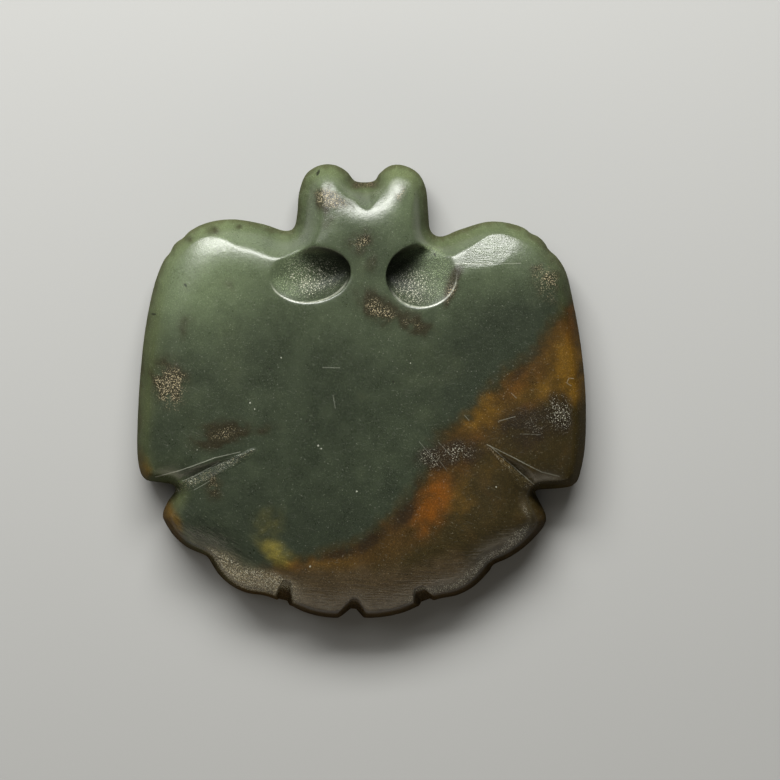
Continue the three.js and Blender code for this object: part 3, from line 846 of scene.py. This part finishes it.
def plaqueSurface():
    # rings of points from the middle of the back, out over the rim and in to the middle of the
    # face, then both middle points
    m = meshing
    insetRings, insets = layRings()
    rim, innermost = insetRings[0], insetRings[-1]

    # front: inset rings and inner rings
    scales = ringScales(m["innerRings"])
    innerRings = innermost[None] * scales[:, None, None]
    frontX = np.concatenate([insetRings[1:, :, 0], innerRings[:, :, 0]]).ravel()
    frontY = np.concatenate([insetRings[1:, :, 1], innerRings[:, :, 1]]).ravel()
    marched = np.repeat(np.concatenate([insets[1:], np.full(len(scales), wellInside)]), m["around"])
    inner = slice((len(insets) - 1) * m["around"], None)
    frontX[inner], frontY[inner] = drawToRims(frontX[inner], frontY[inner])
    soft = softDistance(frontX, frontY)
    distance = marched + (soft - marched) * smoothStep(*m["softFrom"], marched)
    plain, face, masks = carvedFace(frontX, frontY, distance)

    # back: the same inset rings up to its roll, then flat
    backScales = ringScales(m["backInnerRings"])
    backRings = np.concatenate([insetRings[1:], innermost[None] * backScales[:, None, None]])[::-1]
    backInsets = np.concatenate([insets[1:], np.full(len(backScales), wellInside)])[::-1]
    backInset = np.repeat(backInsets, m["around"])
    backX, backY = backRings[:, :, 0].ravel(), backRings[:, :, 1].ravel()

    points = np.concatenate([
        np.column_stack([backX, backY, backHeight(backX, backY, backInset)]),
        np.column_stack([rim, widestLine(rim[:, 0], rim[:, 1])]),
        np.column_stack([frontX, frontY, face]),
        [[0, 0, 0], [0, 0, faceHeightAt(0, 0)]],
    ])
    ringCount = len(backRings) + len(insets) + len(scales)
    behind = np.zeros(len(backX) + len(rim))
    masks = {name: np.concatenate([behind, mask, [0, 0]]) for name, mask in masks.items()}
    masks["edge"] = np.concatenate([backInset, np.zeros(len(rim)), distance, [wellInside, wellInside]])

    notched = np.zeros(len(points))
    for notch in notches["list"]:
        notched = np.maximum(notched, cutNotch(points, *notch))
    masks["notch"] = smoothStep(*notches["maskDepth"], notched)
    front = np.zeros(len(points), bool)
    front[len(behind):-2] = True
    front[-1] = True
    facePoints = points[front]
    cutAway = np.append(rolledHeight(frontX, frontY, distance) - plain, 0)
    for name, mask in zip(("hollow", "shade", "lit"), sinkEyes(facePoints, cutAway)):
        masks[name] = np.zeros(len(points))
        masks[name][front] = mask
    points[front] = facePoints
    print("plaque: carving cut")
    look = stoneLook(points[:, 0], points[:, 1], front, masks)
    print("plaque: stone coloured")
    return points, ringCount, look


def ringFaces(ringCount, around, bottom, top):
    # quads between neighbouring rings, and a fan of triangles to each pole
    j = np.arange(around)
    k = (j + 1) % around
    base = (np.arange(ringCount - 1) * around)[:, None]
    quads = np.stack([base + j, base + k, base + around + k, base + around + j], -1).reshape(-1, 4)
    low = np.stack([np.full(around, bottom), k, j], -1)
    last = (ringCount - 1) * around
    high = np.stack([np.full(around, top), last + j, last + k], -1)
    return quads, np.concatenate([low, high])


def meshObject(name, points, quads, triangles, look):
    # a smooth mesh in metres, in which every look is an attribute of the points
    mesh = bpy.data.meshes.new(name)
    corners = np.concatenate([quads.ravel(), triangles.ravel()]).astype(np.int32)
    starts = np.concatenate([np.arange(len(quads)) * 4,
                             len(quads) * 4 + np.arange(len(triangles)) * 3]).astype(np.int32)
    mesh.vertices.add(len(points))
    mesh.vertices.foreach_set("co", (points * millimetre).astype(np.float32).ravel())
    mesh.loops.add(len(corners))
    mesh.loops.foreach_set("vertex_index", corners)
    mesh.polygons.add(len(starts))
    mesh.polygons.foreach_set("loop_start", starts)
    mesh.update(calc_edges=True)
    mesh.polygons.foreach_set("use_smooth", np.ones(len(starts), bool))
    for label, values in look.items():
        if values.ndim == 2:
            layer = mesh.attributes.new(label, "FLOAT_COLOR", "POINT")
            padded = np.column_stack([np.clip(values, 0, 1), np.ones(len(values))])
            layer.data.foreach_set("color", padded.astype(np.float32).ravel())
        else:
            layer = mesh.attributes.new(label, "FLOAT", "POINT")
            layer.data.foreach_set("value", values.astype(np.float32))
    mesh.validate()
    made = bpy.data.objects.new(name, mesh)
    bpy.context.scene.collection.objects.link(made)
    return made


class Wire:
    # A socket in one node tree. Arithmetic on wires adds Math nodes, and node adds any other.
    def __init__(self, tree, socket=None):
        self.tree = tree
        self.socket = socket

    def node(self, kind, settings=None, inputs=None, output=0):
        made = self.tree.nodes.new(kind)
        for name, value in (settings or {}).items():
            setattr(made, name, value)
        for name, value in (inputs or {}).items():
            if isinstance(value, Wire):
                self.tree.links.new(value.socket, made.inputs[name])
            else:
                made.inputs[name].default_value = value
        return Wire(self.tree, made.outputs[output])

    def math(self, operation, *values):
        return self.node("ShaderNodeMath", {"operation": operation}, dict(enumerate(values)))

    def __add__(self, other):
        return self.math("ADD", self, other)

    __radd__ = __add__

    def __sub__(self, other):
        return self.math("SUBTRACT", self, other)

    def __rsub__(self, other):
        return self.math("SUBTRACT", other, self)

    def __mul__(self, other):
        return self.math("MULTIPLY", self, other)

    __rmul__ = __mul__

    def __abs__(self):
        return self.math("ABSOLUTE", self)

    def atLeast(self, value):
        return self.math("MAXIMUM", self, value)

    def atMost(self, value):
        return self.math("MINIMUM", self, value)

    def step(self, low, high):
        # 0 below low, 1 above high, smooth between; low may be the larger
        return self.node("ShaderNodeMapRange", {"interpolation_type": "SMOOTHSTEP"},
                         {"Value": self, "From Min": low, "From Max": high})

    def mixed(self, a, b):
        # colour a where this is 0, colour b where it is 1
        return self.node("ShaderNodeMix", {"data_type": "RGBA"}, {0: self, 6: a, 7: b}, 2)

    def vector(self, operation, *others, output=0):
        # Vector Math on this and other vectors
        inputs = dict(enumerate((self, *others)))
        return self.node("ShaderNodeVectorMath", {"operation": operation}, inputs, output)

    def scaled(self, by):
        return self.node("ShaderNodeVectorMath", {"operation": "SCALE"}, {0: self, "Scale": by})

    def laidOn(self, middle, turn, size):
        # this place as seen from a turned patch, in units of the patch's size
        return self.node("ShaderNodeMapping", {"vector_type": "TEXTURE"}, {
            "Vector": self, "Location": middle, "Rotation": turn, "Scale": size})

    def noise(self, perMillimetre, detail, distortion=0.0):
        return self.node("ShaderNodeTexNoise", {}, {
            "Vector": self, "Scale": perMillimetre, "Detail": detail, "Distortion": distortion})


# Thin scratches on the face and in the grooves, and painted highlights along the grooves' upper edges
# and the right shoulder facet's lower border: from, to, width, strength
scratches = [
    ((-4.9, 3.75), (-2.7, 3.7), 0.05, 0.25), ((-3.6, 0.2), (-3.3, -1.5), 0.05, 0.2),
    ((17.5, -3.2), (19.7, -2.6), 0.045, 0.24), ((19.2, 0.4), (19.8, -0.2), 0.04, 0.25),
    ((26.3, 1.6), (26.6, 2.2), 0.045, 0.3), ((26.6, 2.2), (27.2, 2.1), 0.045, 0.3),
    ((26.3, 1.6), (26.9, 1.2), 0.04, 0.25), ((20.4, -4.85), (22.9, -4.95), 0.035, 0.18),
    ((13.2, -2.4), (13.8, -3.1), 0.04, 0.2), ((7.4, -5.8), (9.6, -8.4), 0.035, 0.2),
    ((9.9, -5.9), (11.4, -7.5), 0.035, 0.2), ((9.8, -8.0), (11.0, -9.6), 0.03, 0.15),
    # the left groove: the first three lines are painted highlights along its upper edge, the rest
    # scratches inside it
    ((-26.5, -10.7), (-23.4, -9.7), 0.07, 0.5), ((-23.4, -9.7), (-18.7, -7.9), 0.06, 0.45),
    ((-18.7, -7.9), (-15.5, -7.15), 0.05, 0.35), ((-18.3, -8.6), (-21.4, -10.4), 0.05, 0.3),
    ((-21.4, -10.4), (-23.0, -11.1), 0.05, 0.3), ((-19.4, -10.9), (-21.5, -12.2), 0.045, 0.25),
    # the right groove: painted highlights along its upper edge
    ((16.1, -6.2), (19.5, -7.9), 0.05, 0.28), ((19.5, -7.9), (23.1, -9.85), 0.06, 0.3),
    ((23.1, -9.85), (25.4, -10.5), 0.06, 0.25),
    # a light line along the right groove's bottom, then painted highlights along the right shoulder
    # facet's lower border
    ((16.4, -6.3), (22.2, -11.6), 0.06, 0.24), ((12.0, 16.95), (16.7, 16.95), 0.05, 0.45),
    ((17.8, 16.95), (20.3, 17.0), 0.045, 0.3),
]
# Light specks: x, y, radius
specks = [(-10.2, 5.0, 0.1), (-14.2, -0.8, 0.11), (-21.0, -6.9, 0.1), (-0.6, -12.2, 0.1),
          (17.3, -11.7, 0.09), (-5.5, -6.3, 0.13), (-5.1, -6.7, 0.12), (-13.6, -1.6, 0.08),
          (6.3, 4.3, 0.07), (-6.6, -22.0, 0.13)]
# Dark pits: x, y, half length, half width, turn
pits = [(-22.4, 14.2, 0.3, 0.16, -50), (-26.6, 10.3, 0.42, 0.12, 8), (-5.5, 28.4, 0.42, 0.2, 60),
        (4.1, 1.9, 0.14, 0.14, 0), (-11.7, 3.6, 0.2, 0.1, 70), (-7.0, -3.2, 0.16, 0.1, 30),
        (7.6, 18.8, 0.14, 0.12, 0), (9.4, 18.0, 0.25, 0.12, -60)]


# Fine texture of the stone
texture = {
    # waves drawn out along the face: turn in degrees, lengths in millimetres, detail
    "waves": {
        "grain": (20, (0.34, 0.34, 0.34), 1.0),
        "fineGrain": (33, (0.15, 0.15, 0.15), 0.0),
        "crumbs": (-25, (0.16, 0.11, 0.14), 1.0),
        "flecks": (-45, (0.17, 0.1, 0.14), 1.0),
        "lines": (0, (2.4, 0.2, 1.0), 2.0),
        "slanted": (-24, (1.6, 0.22, 1.0), 2.0),
        "leftCuts": (26, (2.4, 0.2, 1.0), 1.0),
        "rightCuts": (-41, (2.4, 0.2, 1.0), 1.0),
    },
    "hairs": [(12, (0.8, 0.11, 1.0), 0.0), (-18, (1.0, 0.11, 1.0), 0.0)],
    # how far all waves lean about x and y, in radians, and how bent they are
    "tilt": (0.3, 0.2),
    "distortion": 0.2,
    # light and dark: an even share, and what each kind of wave adds
    "shade": {"even": 0.96, "grain": 0.16, "fineGrain": 0.4, "lightGrain": 0.5, "grit": 7.0,
              "lightFrom": -0.02, "brushed": 24.0, "satinSheen": 36.0, "cuts": 0.9, "least": 0.2},
    # grains: where their mask is full, what the mask and the fine grain add to the waves, the
    # height above which grains stand, and how much of their colour shows
    "sand": {"full": 0.5, "byMask": 0.07, "byGrain": 0.3, "above": (0.6, 0.7), "cover": 0.8},
    "silver": {"full": 0.5, "byMask": 0.08, "byGrain": 0.4, "above": (0.65, 0.74), "cover": 0.8},
    # marks: fray is what the grain adds to the distance; edge and core are shares of their size
    "scratch": {"fray": 0.16, "edge": 1.6, "core": 0.4, "uneven": 2.0},
    "speck": {"fray": 0.2, "edge": 1.3, "core": 0.5, "cover": 0.7},
    "pitAndShade": {"fray": 0.8, "edge": 1.2, "core": 0.6, "cover": 0.8},
    # the painted highlight along each eye's lower rim
    "eyeRimHighlight": {"edge": 0.03, "core": 0.012, "below": (0.1, 0.7), "cover": 0.42,
               "sideways": (-0.15, 0.2)},
    "dust": {"perMillimetre": 1.7, "edge": 0.16, "core": 0.06, "lot": (0.55, 0.75), "cover": 0.2},
    "hair": {"above": (0.74, 0.84), "cover": 0.06},
    "glint": {"above": (0.26, 0.34), "cover": 0.14},
    # roughness of the polish and of worn stone, and what grain and grains of sand add
    "roughness": {"polish": 0.3, "grain": 0.08, "grains": 0.12, "matt": 0.7},
    # relief in millimetres; the first two are waves per millimetre, detail, distortion, height
    "relief": {"broad": (0.4, 2.0, 0.0, 0.06), "small": (1.5, 1.0, 0.3, 0.016),
               "grain": 0.003, "fineGrain": 0.002, "cuts": 0.07},
    # specular level of the polish, and how light spreads in the stone, in metres
    "gloss": 0.42,
    "body": {"Subsurface Weight": 0.15, "Subsurface Radius": (1.0, 1.1, 0.8),
             "Subsurface Scale": 0.0007, "IOR": 1.61},
}


def drawnWaves(place, turn, lengths, detail):
    # noise from 0 to 1, turned about the face's normal and drawn out to these lengths
    turned = (*texture["tilt"], math.radians(turn))
    return place.laidOn((0, 0, 0), turned, lengths).noise(1.0, detail, texture["distortion"])


def grainsOf(name, waves, mask, fineGrain):
    # grains stand where the waves, raised by the mask and the fine grain, pass a height
    g = texture[name]
    raised = waves + mask * g["byMask"] + fineGrain * g["byGrain"]
    return mask.step(0.0, g["full"]) * raised.step(*g["above"])


def scratchMark(flat, grain, start, end, width, strength):
    # strongest on the line from start to end, fading over its width
    s = texture["scratch"]
    run = (end[0] - start[0], end[1] - start[1])
    length = math.hypot(*run)
    way = (run[0] / length, run[1] / length, 0)
    off = flat.vector("SUBTRACT", (*start, 0))
    along = off.vector("DOT_PRODUCT", way, output=1).atLeast(0.0).atMost(length)
    foot = flat.node("ShaderNodeCombineXYZ", {}, {0: way[0], 1: way[1]}).scaled(along)
    far = off.vector("DISTANCE", foot, output=1)
    line = (far + grain * s["fray"]).step(width * s["edge"], width * s["core"])
    return line * (grain * s["uneven"] * strength + strength)


def speckMark(flat, grain, x, y, radius):
    # strongest in its middle, fading around its radius
    s = texture["speck"]
    far = flat.vector("DISTANCE", (x, y, 0), output=1)
    return (far + grain * s["fray"]).step(radius * s["edge"], radius * s["core"]) * s["cover"]


def paintedEyeRimHighlight(flat, grain, eye, sideways):
    # a painted highlight line on the ellipse's rim, along its lower side and a little sideways
    r = texture["eyeRimHighlight"]
    x, y, halfWidth, halfHeight, turn, _ = eye
    spot = flat.laidOn((x, y, 0), (0, 0, turn), (halfWidth, halfHeight, 1))
    off = abs(spot.vector("LENGTH", output=1) - 1.0)
    low = spot.vector("DOT_PRODUCT", (sideways, -1, 0), output=1)
    return off.step(r["edge"], r["core"]) * low.step(*r["below"]) * (grain + r["cover"])


def dustMark(place, fineGrain):
    # one cell in many holds a dot of dust; with fine hair scratches in two directions, and painted
    # glints
    d, h, g = texture["dust"], texture["hair"], texture["glint"]
    cell = {"Vector": place, "Scale": d["perMillimetre"]}
    centre = place.node("ShaderNodeTexVoronoi", {}, cell)
    lot = place.node("ShaderNodeTexVoronoi", {}, cell, 1)
    lot = lot.node("ShaderNodeSeparateColor", {}, {0: lot})
    dust = centre.step(d["edge"], d["core"]) * lot.step(*d["lot"])
    hair, crossHair = (drawnWaves(place, *waves).step(*h["above"]) for waves in texture["hairs"])
    return dust * d["cover"] + (hair + crossHair) * h["cover"] + fineGrain.step(*g["above"]) * g["cover"]


def lightMarks(place, flat, grain, fineGrain):
    # every light mark of the face in turn: scratches and light lines, some of them painted highlights,
    # specks, the painted highlights on the eyes' lower rims, and dust, hairs and painted glints
    for scratch in scratches:
        yield scratchMark(flat, grain, *scratch)
    for speck in specks:
        yield speckMark(flat, grain, *speck)
    for eye, sideways in zip(eyes["hollows"], texture["eyeRimHighlight"]["sideways"]):
        yield paintedEyeRimHighlight(flat, grain, eye, sideways)
    yield dustMark(place, fineGrain)


def pitMarks(flat, grain):
    # each pit in turn, fading around its turned ellipse
    p = texture["pitAndShade"]
    for x, y, halfLength, halfWidth, turn in pits:
        spot = flat.laidOn((x, y, 0), (0, 0, math.radians(turn)), (halfLength, halfWidth, 1))
        far = spot.vector("LENGTH", output=1)
        yield (far + grain * p["fray"]).step(p["edge"], p["core"])


def strongestMark(marks):
    # each mark joins the strongest so far as soon as it is made, so few values wait for another
    return functools.reduce(Wire.atLeast, marks)


def jadeMaterial():
    # the look that the points carry, with fine waves, grains and marks
    material = bpy.data.materials.new("jade")
    material.use_nodes = True
    tree = material.node_tree
    w = Wire(tree)
    # Object coordinates, in millimetres
    place = w.node("ShaderNodeTexCoord", output=3).scaled(1 / millimetre)
    flat = place.vector("MULTIPLY", (1, 1, 0))
    look = {name: w.node("ShaderNodeAttribute", {"attribute_name": name}, output=2) for name in
            ("front", "sand", "silver", "dull", "crumbling", "grit", "brushed", "satinSheen", "scored",
             "wall")}
    tone = w.node("ShaderNodeAttribute", {"attribute_name": "tone"})
    colour = {name: (*seen(*jade[name]), 1.0) for name in ("sand", "silver", "markAndHighlight", "pitAndShade")}

    # light and dark by grain, tool lines on the ground places and cut lines in the grooves
    waves = {name: drawnWaves(place, *values) for name, values in texture["waves"].items()}
    grain, fineGrain = waves["grain"] - 0.5, waves["fineGrain"] - 0.5
    left, right = (look["scored"] * -1.0).atLeast(0.0), look["scored"].atLeast(0.0)
    cuts = waves["leftCuts"] * left + waves["rightCuts"] * right
    s = texture["shade"]
    shade = (s["even"] + grain * s["grain"] + fineGrain * s["fineGrain"]
             + fineGrain.atLeast(s["lightFrom"]) * (look["grit"] * s["grit"] + s["lightGrain"])
             + (waves["lines"] - 0.5) * look["brushed"] * s["brushed"]
             + (waves["slanted"] - 0.5) * look["satinSheen"] * s["satinSheen"] + cuts * s["cuts"])
    base = tone.scaled(shade.atLeast(s["least"]))

    # light grains of sand in the earth, silvery ones, partly painted glints, in the worn places, then
    # light marks, some of them painted highlights, and pits
    sand = grainsOf("sand", waves["crumbs"], look["sand"], fineGrain)
    base = (sand * texture["sand"]["cover"]).mixed(base, colour["sand"])
    silver = grainsOf("silver", waves["flecks"], look["silver"], fineGrain)
    base = (silver * texture["silver"]["cover"]).mixed(base, colour["silver"])
    marks = strongestMark(lightMarks(place, flat, grain, fineGrain))
    base = (marks * look["front"]).mixed(base, colour["markAndHighlight"])
    dark = strongestMark(pitMarks(flat, grain))
    base = (dark * look["front"] * texture["pitAndShade"]["cover"]).mixed(base, colour["pitAndShade"])

    # polish: dull in earth, hollows and cuts
    r = texture["roughness"]
    roughness = r["polish"] + look["dull"] + grain * r["grain"] + (sand + silver) * r["grains"]

    # relief: hand polish, grain, earth crumbs, tool lines and cut lines
    h = texture["relief"]
    broad, small = (place.noise(*values) * high for *values, high in (h["broad"], h["small"]))
    height = (broad + small + grain * h["grain"] + fineGrain * h["fineGrain"]
              + (waves["crumbs"] + waves["flecks"]) * look["crumbling"]
              + waves["lines"] * look["brushed"] + waves["slanted"] * look["satinSheen"]
              + cuts * h["cuts"])
    bumped = w.node("ShaderNodeBump", {}, {"Strength": 1.0, "Distance": millimetre, "Height": height})

    # polished stone, and the same stone worn matt along the steep edge
    polished = tree.nodes["Principled BSDF"]
    matt = w.node("ShaderNodeBsdfPrincipled", {}, {"Roughness": r["matt"], "Specular IOR Level": 0.0})
    polished.inputs["Specular IOR Level"].default_value = texture["gloss"]
    tree.links.new(roughness.socket, polished.inputs["Roughness"])
    for surface in (polished, matt.socket.node):
        tree.links.new(base.socket, surface.inputs["Base Color"])
        tree.links.new(bumped.socket, surface.inputs["Normal"])
        for name, value in texture["body"].items():
            surface.inputs[name].default_value = value
    both = w.node("ShaderNodeMixShader", {}, {
        0: look["wall"], 1: Wire(tree, polished.outputs[0]), 2: matt})
    tree.links.new(both.socket, tree.nodes["Material Output"].inputs["Surface"])
    print("jade: made,", len(tree.nodes), "nodes")
    return material


def makePlaque():
    # one piece that stands for the solid
    points, ringCount, look = plaqueSurface()
    quads, triangles = ringFaces(ringCount, meshing["around"], len(points) - 2, len(points) - 1)
    plaque = meshObject("jade_bird", points, quads, triangles, look)
    plaque.data.materials.append(jadeMaterial())
    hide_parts("bird_plaque")
    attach(plaque, "root")
    print("plaque: made,", len(quads) * 2 + len(triangles), "triangles")


# Camera square to the face, raised a little towards the ears, with the frame of the photograph
view = {
    "lens": 180.0,
    "sensor": 36.0,
    "frameWidth": 100.76,            # millimetres across the frame at the target
    "target": (3.68, 0.23, 3.0),
    "raised": math.radians(6),
    "clip": (0.01, 10),
}


def makeCamera():
    # as far from the target as the frame's width asks for
    data = bpy.data.cameras.new("camera")
    data.lens = view["lens"]
    data.sensor_width = view["sensor"]
    data.clip_start, data.clip_end = view["clip"]
    distance = view["frameWidth"] * view["lens"] / view["sensor"]
    raised = view["raised"]
    away = np.array([0, math.sin(raised), math.cos(raised)])
    camera = bpy.data.objects.new("camera", data)
    camera.location = (np.array(view["target"]) + away * distance) * millimetre
    camera.rotation_euler = (-raised, 0, 0)
    bpy.context.scene.collection.objects.link(camera)
    bpy.context.scene.camera = camera


# Studio: a soft light beyond the ears, a faint glow above it, a low strip beyond the tail
studio = {
    "lights": {
        # place, size, power, colour
        "main": ((-30, 300, 240), (380, 125), 3.4, (1.0, 1.0, 0.97)),
        "glow": ((-150, 240, 330), (360, 200), 0.6, (1.0, 1.0, 0.97)),
        "strip": ((-20, -300, 112), (560, 34), 0.26, (1.0, 0.9, 0.7)),
    },
    "room": 0.06,
    "floorSize": 3000,
    "floorColour": (0.34, 0.34, 0.335, 1),
    "floorRoughness": 0.9,
}


def areaLight(name, place, size, power, colour):
    # a soft rectangle that faces the middle of the floor
    data = bpy.data.lights.new(name, "AREA")
    data.shape = "RECTANGLE"
    data.size, data.size_y = (s * millimetre for s in size)
    data.energy = power
    data.color = colour
    light = bpy.data.objects.new(name, data)
    light.location = np.array(place) * millimetre
    light.rotation_euler = (-light.location).to_track_quat("-Z", "Y").to_euler()
    bpy.context.scene.collection.objects.link(light)


def makeStudio():
    # lights, a dim room and a plain floor
    for name, light in studio["lights"].items():
        areaLight(name, *light)
    world = bpy.data.worlds.new("room")
    bpy.context.scene.world = world
    world.use_nodes = True
    background = world.node_tree.nodes["Background"]
    background.inputs["Color"].default_value = (1, 1, 1, 1)
    background.inputs["Strength"].default_value = studio["room"]
    half = studio["floorSize"] * millimetre / 2
    mesh = bpy.data.meshes.new("floor")
    mesh.from_pydata([(-half, -half, 0), (half, -half, 0), (half, half, 0), (-half, half, 0)],
                     [], [(0, 1, 2, 3)])
    floor = bpy.data.objects.new("floor", mesh)
    bpy.context.scene.collection.objects.link(floor)
    material = bpy.data.materials.new("floor")
    material.use_nodes = True
    shader = material.node_tree.nodes["Principled BSDF"]
    shader.inputs["Base Color"].default_value = studio["floorColour"]
    shader.inputs["Roughness"].default_value = studio["floorRoughness"]
    mesh.materials.append(material)
    print("studio: made")


makeCamera()
makePlaque()
makeStudio()
bpy.context.scene.view_settings.view_transform = "Standard"

bpy.context.view_layer.update()
